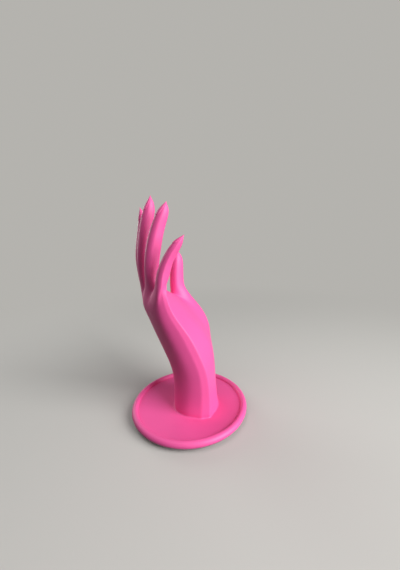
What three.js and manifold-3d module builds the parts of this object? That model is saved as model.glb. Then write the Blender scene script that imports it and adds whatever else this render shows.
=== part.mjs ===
// Hand jewelry display: a hand that stands on its wrist in a round tray with a rolled rim.
// Millimetres, +Z up. The origin lies on the table under the centre of the tray.
// +X is the way the palm faces, +Y is the thumb side, and -Y is the little-finger side.

import * as THREE from 'three';
import { mergeVertices } from 'three/addons/utils/BufferGeometryUtils.js';
import Module from 'manifold-3d';

const wasm = await Module();
wasm.setup();

// Driving dimensions of the tray
const dishDiameter = 110;
const rimBeadRadius = 3.2;
const rimBeadHeight = 6.3;
const floorTop = 6.5;
const undersideHeight = 2.4;
const undersideRadius = 43;
const undercutHeight = 3.9;
const floorEdgeWidth = 0.4;
const beadStartAngle = -120;
const beadEndAngle = 180;
const beadSteps = 10;
const dishSides = 64;

// Driving dimensions of the feet
const footDiameter = 10;
const footRecessDepth = 1;
const footCircleRadius = 35;
const footCount = 4;
const footEdgeRadius = 1;
const footEdgeSteps = 3;
const footClearance = 0.3;

// Driving dimensions of the fixings: two countersunk M3 screws in brass inserts
const screwShankDiameter = 3;
const screwLength = 12;
const screwHeadDiameter = 5.8;
const screwHeadHeight = 1.5;
const screwHeadSink = 0.2;
const screwSocketWidth = 2;
const screwSocketDepth = 0.9;
const screwPointChamfer = 0.5;
const screwSpacing = 18;
const insertDiameter = 4.6;
const insertLength = 6;
const insertSink = 0.3;
const fixingClearance = 0.15;
const tipClearance = 1;
const smallSides = 20;

// The wrist stands a little towards the palm side of the tray's centre
const wristCentreX = 5.5;

// Driving lengths of the hand. The palm is measured from the tray's floor up to its crest,
// and each digit from its first station to its tip.
const palmHeight = 118.5;
const littleFingerLength = 37.9;
const ringFingerLength = 62.5;
const middleFingerLength = 69.1;
const indexFingerLength = 62.5;
const thumbLength = 39.5;

// Sections of the wrist and palm, from below the tray's floor up to the crest of the palm.
// palm and back: x at the little-finger edge, the middle and the thumb edge.
// ridge: x and y of the palm's second column, where the inner ridge runs.
// palmRise and backRise: shares of the palm's height, for the row or for the same three places.
// palmY and backY: the edges. hollow: how deep the cup of the palm is.
// fullness: 1 is a straight line to the edges, higher numbers stay full for longer.
const palmSections = [
  { palm: [11.5, 30, 15.5], ridge: [19.3, -25.5], palmY: [-26.5, 23.5], palmRise: -0.038,
    back: [-2, -16.5, -3.5], backY: [-23.6, 20.5], backRise: -0.038, hollow: 0, fullness: 2.6 },
  { palm: [11.3, 26.8, 13.5], ridge: [19.6, -22.3], palmY: [-23.3, 20], palmRise: 0.046,
    back: [-1, -14.3, -2.5], backY: [-20.7, 17.5], backRise: 0.046, hollow: 0, fullness: 2.6 },
  { palm: [13.4, 25.8, 15.5], ridge: [19.9, -22.1], palmY: [-23.3, 20.5], palmRise: 0.333,
    back: [3, -12.9, -3.5], backY: [-21.9, 17.5], backRise: 0.291, hollow: 0, fullness: 2.5 },
  { palm: [4.8, 25.3, 24.2], ridge: [11.8, -23], palmY: [-24, 24], palmRise: 0.511,
    back: [-2.5, -19, -9], backY: [-22.6, 20.5], backRise: 0.443, hollow: 0.5, fullness: 2.2 },
  { palm: [-1.9, 16.5, 23.4], ridge: [4.4, -23.8], palmY: [-24.8, 27], palmRise: 0.671,
    back: [-11, -27.7, -17], backY: [-23.2, 24], backRise: 0.612, hollow: 2.2, fullness: 1.9 },
  { palm: [-14, 3, 14.8], ridge: [-9.6, -24.9], palmY: [-25.5, 28.5],
    palmRise: [0.84, 0.814, 0.789],
    back: [-19, -34.2, -28], backY: [-24.3, 26.5], backRise: 0.764, hollow: 3, fullness: 1.6 },
  { palm: [-16.2, -8.5, -18], ridge: [-13.2, -25.4], palmY: [-26, 27],
    palmRise: [1, 0.949, 0.865],
    back: [-20.5, -39.2, -37], backY: [-24.8, 28], backRise: 0.865, hollow: 1.5, fullness: 1.6 },
];
const knuckleRise = 0.8;

// Roots of the fingers, column by column from the little finger's edge to the index finger's.
// Even columns lie in the webs, odd columns on the fingers. Rises are over the crest of the palm.
const rootPalmX = [-15.2, -10.9, -19.5, -21.5, -27, -28, -32.5, -32, -36];
const rootPalmRise = [4, 5, -2, 1, -5, -1, -7, -2, -7];
const rootBackX = [-20.5, -23.2, -26, -33.5, -35.5, -41, -40.5, -45, -42.5];
const rootBackRise = [-6, -1, -7, -1, -7, -1, -7, -1, -7];
const rootEdgeY = [-27.8, 28.2];

// Digits, fingers from the little finger to the index finger.
// nail: how far the nail runs back from the tip.
// root: x, y and the rise over the crest of the palm where the first station lies.
// Each station is [share of the length, lean towards the palm from there on, thickness, breadth].
const fingers = [
  { length: littleFingerLength, nail: 11, root: [-15.2, -21.8, 11], tipY: -24.5, stations: [
    [0, 18.6, 11, 11.2], [0.223, 26, 9.8, 10.4], [0.452, 35.4, 8.6, 9.6],
    [0.652, 39.4, 8.2, 8.6], [0.823, 37.7, 6.4, 6.2] ] },
  { length: ringFingerLength, nail: 14, root: [-26.8, -7.3, 10], tipY: -8.4, stations: [
    [0, 6.5, 12, 12], [0.225, 12.2, 12.9, 11.8], [0.438, 17.1, 12.6, 11.2],
    [0.672, 26.3, 11.2, 10.4], [0.824, 24.4, 10.2, 9], [0.92, 15.2, 6.8, 6.2] ] },
  { length: middleFingerLength, nail: 14.5, root: [-35.2, 7.2, 9], tipY: 8.4, stations: [
    [0, -0.4, 12, 12], [0.217, 7.5, 12.2, 11.9], [0.45, 10.5, 11.5, 11.3],
    [0.656, 18.6, 11, 10.4], [0.802, 13.8, 10.6, 9], [0.904, 3.5, 7.2, 6.2] ] },
  { length: indexFingerLength, nail: 12.5, root: [-38.8, 21.6, 7], tipY: 25, stations: [
    [0, -7, 11.8, 11.8], [0.257, 8.3, 11.8, 11.5], [0.531, 8.7, 11, 10.9],
    [0.741, -2, 10.2, 9.8], [0.877, -15.1, 7.4, 7] ] },
];
const thumb = { length: thumbLength, nail: 12, root: [-7.6, 23, -11], tipY: 23, stations: [
  [0, -4.3, 15, 14], [0.203, 1.9, 13.6, 13.4], [0.431, 5.4, 13, 12.8],
  [0.672, 6.5, 12.4, 11.8], [0.85, 5.8, 9.6, 8.8] ] };

// The thumb grows out of the palm between these two sections, over the last two columns
const thumbSectionIndex = 5;
const thumbColumnIndex = 6;

// Two ridges run along the little-finger edge of the palm. The outer one goes on to the tip of the
// little finger, the inner one ends at the finger's root. A softer one runs along each side of
// every digit.
const outerRidgeColumn = 0;
const innerRidgeColumn = 1;
const ridgeSharpness = 2.2;
const digitRidgeSharpness = 1.2;

// Nails: pointed plates on the backs of the fingertips, rounded at the cuticle.
// The side angles are half of what a nail takes round the digit, at the cuticle and at the tip.
const nailThickness = 0.45;
const nailSideAngle = 58;
const nailTipSideAngle = 75;
const nailTipGap = 0.5;
const nailCuticleShare = 0.3;
const nailRootShare = 0.75;
const nailRows = 7;
const nailColumns = 6;

// Corners round a digit, by angle from the middle of the back, and how far each control point
// reaches for the smoothed digit to have its thickness and breadth. The first and third are ridges.
const digitCorners = [
  { angle: 265, reach: 1.05 },
  { angle: 180, reach: 1.45 },
  { angle: 95, reach: 1.05 },
  { angle: 50, reach: 1.1 },
  { angle: 0, reach: 1.15 },
  { angle: -50, reach: 1.1 },
];
const digitRidgeCorners = [0, 2];

const refinements = 2;
const mergeDistance = 1e-4;

const pink = new THREE.MeshStandardMaterial({ color: 0xff5fa8, roughness: 0.42, metalness: 0 });
const brass = new THREE.MeshStandardMaterial({ color: 0xc9a24a, roughness: 0.35, metalness: 1 });
const steel = new THREE.MeshStandardMaterial({ color: 0x9a9da0, roughness: 0.3, metalness: 1 });
const rubber = new THREE.MeshStandardMaterial({ color: 0x2b2b2d, roughness: 0.85, metalness: 0 });

// Solids for cutting and joining
function solidOf(geometry) {
  const bare = geometry.clone();
  bare.deleteAttribute('normal');
  bare.deleteAttribute('uv');
  const merged = mergeVertices(bare, mergeDistance);
  return new wasm.Manifold(new wasm.Mesh({
    numProp: 3,
    vertProperties: new Float32Array(merged.attributes.position.array),
    triVerts: new Uint32Array(merged.index.array),
  }));
}

function geometryOf(solid) {
  const mesh = solid.getMesh();
  const geometry = new THREE.BufferGeometry();
  geometry.setAttribute('position', new THREE.BufferAttribute(mesh.vertProperties, 3));
  geometry.setIndex(new THREE.BufferAttribute(mesh.triVerts, 1));
  geometry.computeVertexNormals();
  return geometry;
}

function uprightCylinder(radius, bottom, top, sides, x = 0, y = 0, bottomRadius = radius) {
  const geometry = new THREE.CylinderGeometry(radius, bottomRadius, top - bottom, sides);
  geometry.rotateX(Math.PI / 2);
  geometry.translate(x, y, (bottom + top) / 2);
  return geometry;
}

function revolve(points, sides) {
  const geometry = new THREE.LatheGeometry(points, sides);
  geometry.rotateX(Math.PI / 2);
  return geometry;
}

// Smooth surface from a coarse cage of four-sided faces
function edgeName(a, b) {
  return a < b ? `${a}_${b}` : `${b}_${a}`;
}

function average(points) {
  const sum = new THREE.Vector3();
  points.forEach((point) => sum.add(point));
  return sum.divideScalar(points.length);
}

function refine({ points, faces, creases, corners }) {
  const facePoints = faces.map((face) => average(face.map((index) => points[index])));
  const edges = new Map();
  faces.forEach((face, faceIndex) => {
    face.forEach((a, place) => {
      const b = face[(place + 1) % face.length];
      const name = edgeName(a, b);
      if (!edges.has(name)) {
        edges.set(name, { a, b, faces: [], sharpness: creases.get(name) ?? 0 });
      }
      edges.get(name).faces.push(faceIndex);
    });
  });
  const around = points.map(() => ({ faces: [], edges: [] }));
  faces.forEach((face, faceIndex) => face.forEach((index) => around[index].faces.push(faceIndex)));
  edges.forEach((edge) => {
    around[edge.a].edges.push(edge);
    around[edge.b].edges.push(edge);
  });

  const newPoints = points.map(
    (point, index) => (corners.has(index)
      ? point.clone()
      : movedPoint(point, index, around[index], points, facePoints)),
  );
  const firstFacePoint = newPoints.length;
  newPoints.push(...facePoints);
  const newCreases = new Map();
  edges.forEach((edge) => {
    edge.index = newPoints.length;
    const middle = average([points[edge.a], points[edge.b]]);
    const smooth = average([middle, average(edge.faces.map((face) => facePoints[face]))]);
    newPoints.push(smooth.lerp(middle, Math.min(edge.sharpness, 1)));
    if (edge.sharpness > 1) {
      newCreases.set(edgeName(edge.a, edge.index), edge.sharpness - 1);
      newCreases.set(edgeName(edge.b, edge.index), edge.sharpness - 1);
    }
  });
  const newFaces = [];
  faces.forEach((face, faceIndex) => {
    face.forEach((corner, place) => {
      const next = face[(place + 1) % face.length];
      const previous = face[(place + face.length - 1) % face.length];
      newFaces.push([
        corner,
        edges.get(edgeName(corner, next)).index,
        firstFacePoint + faceIndex,
        edges.get(edgeName(previous, corner)).index,
      ]);
    });
  });
  return { points: newPoints, faces: newFaces, creases: newCreases, corners };
}

function movedPoint(point, index, { faces, edges }, points, facePoints) {
  const count = edges.length;
  const faceMean = average(faces.map((face) => facePoints[face]));
  const edgeMean = average(edges.map((edge) => average([points[edge.a], points[edge.b]])));
  const smooth = faceMean
    .addScaledVector(edgeMean, 2)
    .addScaledVector(point, count - 3)
    .divideScalar(count);
  const sharp = edges.filter((edge) => edge.sharpness > 0);
  if (sharp.length !== 2) {
    return smooth;
  }
  const ends = sharp.map((edge) => points[edge.a === index ? edge.b : edge.a]);
  const creased = point.clone().multiplyScalar(6).add(ends[0]).add(ends[1]).divideScalar(8);
  const sharpness = (sharp[0].sharpness + sharp[1].sharpness) / 2;
  return smooth.lerp(creased, Math.min(sharpness, 1));
}

// One edge-to-edge row of the palm or the back: one value, or three that are full in the middle
function acrossHand(row, share, fullness) {
  const [littleEdge, middle, thumbEdge] = Array.isArray(row) ? row : [row, row, row];
  const side = 2 * share - 1;
  const edge = side < 0 ? littleEdge : thumbEdge;
  return middle + (edge - middle) * Math.abs(side) ** fullness;
}

const columnCount = 9;
const knuckleSection = palmSections[palmSections.length - 1];
const crest = floorTop + palmHeight;

function palmRowHeight(rise, share) {
  return floorTop + palmHeight * acrossHand(rise, share, 1);
}

// The palm's surface, with its cup in the middle
function palmX({ palm, hollow, fullness }, share) {
  const cup = (1 - (2 * share - 1) ** 2) ** 2;
  return acrossHand(palm, share, fullness) - hollow * cup;
}

function palmRing(section) {
  const palmRow = [];
  const backRow = [];
  for (let column = 0; column < columnCount; column += 1) {
    const share = column / (columnCount - 1);
    const [x, y] = column === innerRidgeColumn
      ? section.ridge
      : [palmX(section, share), THREE.MathUtils.lerp(...section.palmY, share)];
    palmRow.push(new THREE.Vector3(x, y, palmRowHeight(section.palmRise, share)));
    const knuckle = section === knuckleSection && column % 2 === 1 ? knuckleRise : 0;
    backRow.push(new THREE.Vector3(
      acrossHand(section.back, share, section.fullness) - knuckle,
      THREE.MathUtils.lerp(...section.backY, share),
      palmRowHeight(section.backRise, share),
    ));
  }
  return [...palmRow, ...backRow.reverse()];
}

function rootRing() {
  const rowY = (column) => THREE.MathUtils.lerp(...rootEdgeY, column / (columnCount - 1));
  const row = (xs, rises) => xs.map(
    (x, column) => new THREE.Vector3(x, rowY(column), crest + rises[column]),
  );
  const palmRow = row(rootPalmX, rootPalmRise);
  const backRow = row(rootBackX, rootBackRise);
  return [...palmRow, ...backRow.reverse()];
}

// Six points round a digit: the palm side's three and the back's three
function digitRing(centre, ahead, thickness, breadth) {
  const palmWay = new THREE.Vector3(ahead.z, 0, -ahead.x).normalize();
  return digitCorners.map(({ angle, reach }) => {
    const turn = THREE.MathUtils.degToRad(angle);
    return centre.clone()
      .addScaledVector(palmWay, -thickness / 2 * reach * Math.cos(turn))
      .add(new THREE.Vector3(0, breadth / 2 * reach * Math.sin(turn), 0));
  });
}

// The centres of a digit's stations, and its tip
function digitLine({ length, root, tipY, stations }) {
  const [rootX, rootY, rise] = root;
  const line = [new THREE.Vector3(rootX, rootY, crest + rise)];
  stations.forEach(([share, leanAngle], station) => {
    const end = station + 1 < stations.length ? stations[station + 1][0] : 1;
    const lean = THREE.MathUtils.degToRad(leanAngle);
    const step = length * (end - share);
    const last = line[station];
    line.push(new THREE.Vector3(
      last.x + step * Math.sin(lean),
      THREE.MathUtils.lerp(rootY, tipY, end),
      last.z + step * Math.cos(lean),
    ));
  });
  return line;
}

function addDigit(cage, rootIndexes, digit) {
  const root = average(rootIndexes.map((index) => cage.points[index]));
  const line = [root, ...digitLine(digit)];
  const rings = [rootIndexes];
  digit.stations.forEach(([, , thickness, breadth], station) => {
    const centre = line[station + 1];
    const ahead = line[station + 2].clone().sub(line[station]);
    const first = cage.points.length;
    cage.points.push(...digitRing(centre, ahead, thickness, breadth));
    rings.push(rootIndexes.map((_, corner) => first + corner));
    addBand(cage, rings[station], rings[station + 1]);
  });
  const tipIndex = cage.points.length;
  cage.points.push(line[line.length - 1]);
  cage.corners.add(tipIndex);
  const lastRing = rings[rings.length - 1];
  lastRing.forEach((corner, place) => {
    cage.faces.push([corner, lastRing[(place + 1) % lastRing.length], tipIndex]);
  });
  rings.push(lastRing.map(() => tipIndex));
  for (let band = 1; band < rings.length - 1; band += 1) {
    digitRidgeCorners.forEach((corner) => {
      sharpen(cage, rings[band], rings[band + 1], corner, digitRidgeSharpness);
    });
  }
  cage.digits.push({ line, nail: digit.nail });
  return rings;
}

function sharpen(cage, lower, upper, corner, sharpness) {
  cage.creases.set(edgeName(lower[corner], upper[corner]), sharpness);
}

function addBand(cage, lower, upper, skipped = []) {
  lower.forEach((corner, place) => {
    if (skipped.includes(place)) {
      return;
    }
    const next = (place + 1) % lower.length;
    cage.faces.push([corner, lower[next], upper[next], upper[place]]);
  });
}

// The palm's outer ridge goes on over the little finger to its tip
function carryOuterRidge(cage, rings) {
  for (let band = 0; band < rings.length - 1; band += 1) {
    sharpen(cage, rings[band], rings[band + 1], outerRidgeColumn, ridgeSharpness);
  }
}

function handCage() {
  const cage = { points: [], faces: [], creases: new Map(), corners: new Set(), digits: [] };
  const rings = [...palmSections.map(palmRing), rootRing()].map((ring) => {
    const first = cage.points.length;
    cage.points.push(...ring);
    return ring.map((_, place) => first + place);
  });
  cage.faces.push([...rings[0]].reverse());
  for (let section = 0; section < rings.length - 1; section += 1) {
    const skipped = section === thumbSectionIndex ? [thumbColumnIndex, thumbColumnIndex + 1] : [];
    addBand(cage, rings[section], rings[section + 1], skipped);
    sharpen(cage, rings[section], rings[section + 1], outerRidgeColumn, ridgeSharpness);
    sharpen(cage, rings[section], rings[section + 1], innerRidgeColumn, ridgeSharpness);
  }

  const thumbColumns = [0, 1, 2].map((step) => thumbColumnIndex + step);
  addDigit(cage, [
    ...thumbColumns.map((column) => rings[thumbSectionIndex][column]),
    ...thumbColumns.map((column) => rings[thumbSectionIndex + 1][column]).reverse(),
  ], thumb);

  const roots = rings[rings.length - 1];
  const palmRoot = (column) => roots[column];
  const backRoot = (column) => roots[roots.length - 1 - column];
  fingers.forEach((finger, place) => {
    const columns = [2 * place, 2 * place + 1, 2 * place + 2];
    const around = [...columns.map(palmRoot), ...columns.map(backRoot).reverse()];
    const fingerRings = addDigit(cage, around, finger);
    if (place === 0) {
      carryOuterRidge(cage, fingerRings);
    }
  });
  return cage;
}

function cageGeometry(cage) {
  const geometry = new THREE.BufferGeometry();
  const triangles = [];
  cage.faces.forEach(([a, b, c, d]) => triangles.push(a, b, c, a, c, d));
  geometry.setAttribute('position', new THREE.Float32BufferAttribute(
    cage.points.flatMap((point) => point.toArray()), 3));
  geometry.setIndex(triangles);
  return geometry;
}

// The place on a digit's centre line at a distance from its tip, and the way the line runs there
function backFromTip(line, distance) {
  let left = distance;
  let joint = line.length - 1;
  while (joint > 1 && left > line[joint].distanceTo(line[joint - 1])) {
    left -= line[joint].distanceTo(line[joint - 1]);
    joint -= 1;
  }
  const ahead = line[joint].clone().sub(line[joint - 1]).normalize();
  return { place: line[joint].clone().addScaledVector(ahead, -left), ahead };
}

// A closed plate that lies on the back of a digit, sunk into it along its edges
function nailGeometry(skin, { line, nail }) {
  const outside = [];
  const inside = [];
  for (let row = 0; row <= nailRows; row += 1) {
    for (let column = 0; column <= nailColumns; column += 1) {
      const across = (2 * column) / nailColumns - 1;
      const start = nailCuticleShare * (1 - Math.sqrt(1 - across ** 2));
      const along = THREE.MathUtils.lerp(start, 1, row / nailRows);
      const { place, ahead } = backFromTip(line, Math.max(nail * (1 - along), nailTipGap));
      const sideAngle = THREE.MathUtils.lerp(nailSideAngle, nailTipSideAngle, along);
      const angle = THREE.MathUtils.degToRad(across * sideAngle);
      const outwards = new THREE.Vector3(-ahead.z, 0, ahead.x)
        .multiplyScalar(Math.cos(angle))
        .add(new THREE.Vector3(0, Math.sin(angle), 0))
        .normalize();
      const reach = new THREE.Raycaster(place, outwards).intersectObject(skin)[0].distance;
      const edge = row === 0 || column === 0 || column === nailColumns;
      const lift = edge ? -nailThickness / 2 : nailThickness;
      outside.push(place.clone().addScaledVector(outwards, reach + lift));
      inside.push(place.clone().addScaledVector(outwards, reach * nailRootShare));
    }
  }
  return plateGeometry(outside, inside, nailRows, nailColumns);
}

// A closed body between two grids of points
function plateGeometry(outside, inside, rows, columns) {
  const at = (row, column) => row * (columns + 1) + column;
  const below = outside.length;
  const triangles = [];
  const addFace = (a, b, c, d) => triangles.push(a, b, c, a, c, d);
  for (let row = 0; row < rows; row += 1) {
    for (let column = 0; column < columns; column += 1) {
      const corners = [
        at(row, column), at(row + 1, column), at(row + 1, column + 1), at(row, column + 1),
      ];
      addFace(...corners);
      addFace(...corners.map((corner) => corner + below).reverse());
    }
  }
  const addRim = (corner, next) => addFace(next, corner, corner + below, next + below);
  for (let row = 0; row < rows; row += 1) {
    addRim(at(row, 0), at(row + 1, 0));
    addRim(at(row + 1, columns), at(row, columns));
  }
  for (let column = 0; column < columns; column += 1) {
    addRim(at(rows, column), at(rows, column + 1));
    addRim(at(0, column + 1), at(0, column));
  }
  const geometry = new THREE.BufferGeometry().setFromPoints([...outside, ...inside]);
  geometry.setIndex(triangles);
  return geometry;
}

const screwPlaces = [
  { name: 'little_side', y: -screwSpacing / 2 },
  { name: 'thumb_side', y: screwSpacing / 2 },
];
const headBottom = undersideHeight + screwHeadSink;
const screwTop = headBottom + screwLength;
const insertBottom = floorTop + insertSink;

function handGeometry() {
  let cage = handCage();
  const { digits } = cage;
  for (let level = 0; level < refinements; level += 1) {
    cage = refine(cage);
  }
  const smooth = cageGeometry(cage);
  const skin = new THREE.Mesh(smooth, new THREE.MeshBasicMaterial({ side: THREE.DoubleSide }));
  let hand = solidOf(smooth);
  digits.forEach((digit) => {
    hand = hand.add(solidOf(nailGeometry(skin, digit)));
  });
  const below = new THREE.BoxGeometry(dishDiameter, dishDiameter, 2 * floorTop);
  hand = hand.subtract(solidOf(below));
  screwPlaces.forEach(({ y }) => {
    const insertBore = uprightCylinder(insertDiameter / 2 + fixingClearance, 0,
      insertBottom + insertLength + fixingClearance, smallSides, wristCentreX, y);
    const tipBore = uprightCylinder(screwShankDiameter / 2 + fixingClearance, 0,
      screwTop + tipClearance, smallSides, wristCentreX, y);
    hand = hand.subtract(solidOf(insertBore)).subtract(solidOf(tipBore));
  });
  return geometryOf(hand);
}

// Half section of the tray: flat underside, undercut, rolled bead and flat floor
function dishProfile() {
  const beadCentreX = dishDiameter / 2 - rimBeadRadius;
  const points = [
    new THREE.Vector2(0, undersideHeight),
    new THREE.Vector2(undersideRadius, undersideHeight),
    new THREE.Vector2(beadCentreX - rimBeadRadius, undercutHeight),
  ];
  for (let step = 0; step <= beadSteps; step += 1) {
    const degrees = THREE.MathUtils.lerp(beadStartAngle, beadEndAngle, step / beadSteps);
    const angle = THREE.MathUtils.degToRad(degrees);
    points.push(new THREE.Vector2(
      beadCentreX + rimBeadRadius * Math.cos(angle),
      rimBeadHeight + rimBeadRadius * Math.sin(angle),
    ));
  }
  points.push(new THREE.Vector2(beadCentreX - rimBeadRadius - floorEdgeWidth, floorTop));
  points.push(new THREE.Vector2(0, floorTop));
  return points;
}

const footPlaces = Array.from({ length: footCount }, (_, index) => {
  const angle = ((index + 0.5) / footCount) * 2 * Math.PI;
  return {
    name: `foot_${index + 1}`,
    x: footCircleRadius * Math.cos(angle),
    y: footCircleRadius * Math.sin(angle),
  };
});

function dishGeometry() {
  let dish = solidOf(revolve(dishProfile(), dishSides));
  screwPlaces.forEach(({ y }) => {
    const throat = screwShankDiameter / 2 + fixingClearance;
    const hole = uprightCylinder(throat, 0, 2 * floorTop, smallSides, wristCentreX, y);
    const mouth = screwHeadDiameter / 2 + fixingClearance;
    const sink = uprightCylinder(throat, headBottom, headBottom + screwHeadHeight, smallSides,
      wristCentreX, y, mouth);
    const entry = uprightCylinder(mouth, 0, headBottom, smallSides, wristCentreX, y);
    dish = dish.subtract(solidOf(hole)).subtract(solidOf(sink)).subtract(solidOf(entry));
  });
  footPlaces.forEach(({ x, y }) => {
    const recess = uprightCylinder(footDiameter / 2 + footClearance, 0,
      undersideHeight + footRecessDepth, smallSides, x, y);
    dish = dish.subtract(solidOf(recess));
  });
  return geometryOf(dish);
}

function insertGeometry() {
  const bore = screwShankDiameter / 2 + fixingClearance;
  const outside = insertDiameter / 2;
  return revolve([
    new THREE.Vector2(bore, 0),
    new THREE.Vector2(outside, 0),
    new THREE.Vector2(outside, insertLength),
    new THREE.Vector2(bore, insertLength),
    new THREE.Vector2(bore, 0),
  ], smallSides);
}

function screwGeometry() {
  const shank = screwShankDiameter / 2;
  const body = revolve([
    new THREE.Vector2(0, 0),
    new THREE.Vector2(screwHeadDiameter / 2, 0),
    new THREE.Vector2(shank, screwHeadHeight),
    new THREE.Vector2(shank, screwLength - screwPointChamfer),
    new THREE.Vector2(shank - screwPointChamfer, screwLength),
    new THREE.Vector2(0, screwLength),
  ], smallSides);
  const socket = uprightCylinder(screwSocketWidth / Math.sqrt(3), -1, screwSocketDepth, 6);
  return geometryOf(solidOf(body).subtract(solidOf(socket)));
}

function footGeometry() {
  const radius = footDiameter / 2;
  const height = undersideHeight + footRecessDepth;
  const points = [new THREE.Vector2(0, 0)];
  for (let step = 0; step <= footEdgeSteps; step += 1) {
    const angle = (step / footEdgeSteps) * Math.PI / 2;
    points.push(new THREE.Vector2(
      radius - footEdgeRadius + footEdgeRadius * Math.sin(angle),
      footEdgeRadius - footEdgeRadius * Math.cos(angle),
    ));
  }
  points.push(new THREE.Vector2(radius, height), new THREE.Vector2(0, height));
  return revolve(points, smallSides);
}

function piece(name, geometry, material, x = 0, y = 0, z = 0) {
  const mesh = new THREE.Mesh(geometry, material);
  mesh.name = name;
  mesh.position.set(x, y, z);
  return mesh;
}

const group = new THREE.Group();
group.add(piece('hand', handGeometry(), pink));
group.add(piece('dish', dishGeometry(), pink));
screwPlaces.forEach(({ name, y }) => {
  group.add(piece(`insert_${name}`, insertGeometry(), brass, wristCentreX, y, insertBottom));
  group.add(piece(`screw_${name}`, screwGeometry(), steel, wristCentreX, y, headBottom));
});
footPlaces.forEach(({ name, x, y }) => {
  group.add(piece(name, footGeometry(), rubber, x, y, 0));
});

export default group;
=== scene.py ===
# Hand jewelry display: a slender hand that stands on its wrist in a round tray with a rolled rim.
# Metres, +Z up. The palm faces +X, the thumb is on the +Y side and the little finger on the -Y side.

import math

import bmesh
import bpy
from bpy.props import FloatProperty, FloatVectorProperty, IntProperty, PointerProperty
from bpy.types import Operator, Panel, PropertyGroup
from mathutils import Matrix, Vector
from mathutils.bvhtree import BVHTree


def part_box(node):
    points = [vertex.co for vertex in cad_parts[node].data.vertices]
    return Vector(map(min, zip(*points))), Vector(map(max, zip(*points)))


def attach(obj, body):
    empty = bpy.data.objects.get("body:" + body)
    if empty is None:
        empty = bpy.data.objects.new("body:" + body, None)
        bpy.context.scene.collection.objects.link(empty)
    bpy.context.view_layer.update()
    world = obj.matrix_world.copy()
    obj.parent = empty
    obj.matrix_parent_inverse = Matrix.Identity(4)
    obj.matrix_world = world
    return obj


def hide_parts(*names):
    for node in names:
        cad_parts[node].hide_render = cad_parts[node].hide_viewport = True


bl_info = {
    "name": "Hand Jewelry Display",
    "version": (1, 0, 0),
    "blender": (4, 5, 0),
    "location": "3D View > Sidebar > Display",
    "description": "Builds a hand jewelry display with its tray, nails, feet and fixings",
    "category": "Add Mesh",
}

MM = 0.001
BODY = "root"

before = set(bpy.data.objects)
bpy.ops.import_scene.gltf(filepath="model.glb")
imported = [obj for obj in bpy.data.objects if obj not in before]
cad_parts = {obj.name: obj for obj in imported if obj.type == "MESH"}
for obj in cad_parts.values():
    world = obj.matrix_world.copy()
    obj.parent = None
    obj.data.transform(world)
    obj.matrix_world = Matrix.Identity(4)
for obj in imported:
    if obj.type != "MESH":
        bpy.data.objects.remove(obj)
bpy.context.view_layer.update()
HAND_LOW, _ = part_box("hand")
DISH_LOW, DISH_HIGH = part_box("dish")
FOOT_NODES = sorted(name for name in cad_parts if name.startswith("foot_"))
SCREW_NODES = sorted(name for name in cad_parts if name.startswith("screw_"))
INSERT_NODES = sorted(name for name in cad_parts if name.startswith("insert_"))

# Sizes of the hand in millimetres. The palm is measured from the tray's floor up to its crest, and
# each digit from its first station to its tip.
PALM_HEIGHT = 118.5
LITTLE_FINGER_LENGTH = 37.9
RING_FINGER_LENGTH = 62.5
MIDDLE_FINGER_LENGTH = 69.1
INDEX_FINGER_LENGTH = 62.5
THUMB_LENGTH = 39.5

# Sections of the wrist and palm, from below the tray's floor up to the crest of the palm.
# palm and back: x at the little-finger edge, the middle and the thumb edge.
# ridge: x and y of the palm's second column, where the inner ridge runs.
# palm_rise and back_rise: shares of the palm's height, for the row or for the same three places.
# palm_y and back_y: the edges. hollow: how deep the cup of the palm is.
# fullness: 1 is a straight line to the edges, higher numbers stay full for longer.
PALM_SECTIONS = (
    dict(palm=(11.5, 30, 15.5), ridge=(19.3, -25.5), palm_y=(-26.5, 23.5), palm_rise=-0.038,
         back=(-2, -16.5, -3.5), back_y=(-23.6, 20.5), back_rise=-0.038, hollow=0, fullness=2.6),
    dict(palm=(11.3, 26.8, 13.5), ridge=(19.6, -22.3), palm_y=(-23.3, 20), palm_rise=0.046,
         back=(-1, -14.3, -2.5), back_y=(-20.7, 17.5), back_rise=0.046, hollow=0, fullness=2.6),
    dict(palm=(13.4, 25.8, 15.5), ridge=(19.9, -22.1), palm_y=(-23.3, 20.5), palm_rise=0.333,
         back=(3, -12.9, -3.5), back_y=(-21.9, 17.5), back_rise=0.291, hollow=0, fullness=2.5),
    dict(palm=(4.8, 25.3, 24.2), ridge=(11.8, -23), palm_y=(-24, 24), palm_rise=0.511,
         back=(-2.5, -19, -9), back_y=(-22.6, 20.5), back_rise=0.443, hollow=0.5, fullness=2.2),
    dict(palm=(-1.9, 16.5, 23.4), ridge=(4.4, -23.8), palm_y=(-24.8, 27), palm_rise=0.671,
         back=(-11, -27.7, -17), back_y=(-23.2, 24), back_rise=0.612, hollow=2.2, fullness=1.9),
    dict(palm=(-14, 3, 14.8), ridge=(-9.6, -24.9), palm_y=(-25.5, 28.5), palm_rise=(0.84, 0.814, 0.789),
         back=(-19, -34.2, -28), back_y=(-24.3, 26.5), back_rise=0.764, hollow=3, fullness=1.6),
    dict(palm=(-16.2, -8.5, -18), ridge=(-13.2, -25.4), palm_y=(-26, 27), palm_rise=(1, 0.949, 0.865),
         back=(-20.5, -39.2, -37), back_y=(-24.8, 28), back_rise=0.865, hollow=1.5, fullness=1.6),
)
KNUCKLE_RISE = 0.8
COLUMNS = 9

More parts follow.
